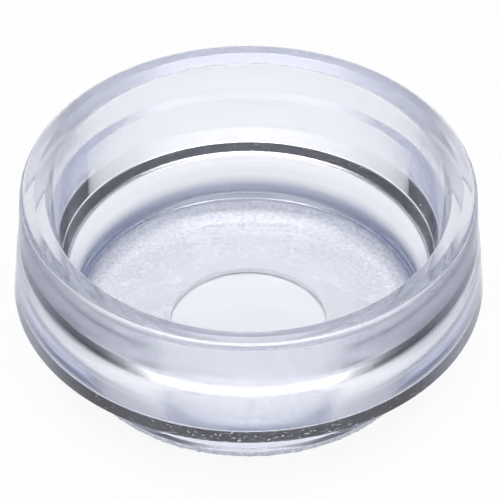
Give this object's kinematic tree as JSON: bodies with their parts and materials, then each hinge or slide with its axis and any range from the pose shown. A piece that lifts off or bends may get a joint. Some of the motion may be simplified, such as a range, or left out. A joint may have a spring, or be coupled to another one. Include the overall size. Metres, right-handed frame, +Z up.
{
  "type": "caster cup",
  "caption": "Round clear cup with a coved bowl, stepped skirt and stacking foot on a soft grip ring; it stands under a furniture caster or leg to spare the floor.",
  "frame": {"origin": "middle of the grip ring's underside, where the cup stands on the floor", "axes": "+Z up along the cup's axis, out of the mouth; the cup is the same all round, so X and Y are any two directions across it"},
  "size_m": [0.06, 0.06, 0.0247],
  "materials": {
    "clear_plastic": "clear moulded plastic with a faint blue-lilac cast, polished",
    "frosted_rubber": "frosted translucent soft rubber, fine grain",
    "clear_film": "clear double-sided adhesive film"
  },
  "bodies": {
    "root": {"cup_body": "clear_plastic", "grip_ring": "frosted_rubber", "adhesive_film": "clear_film"}
  },
  "joints": []
}
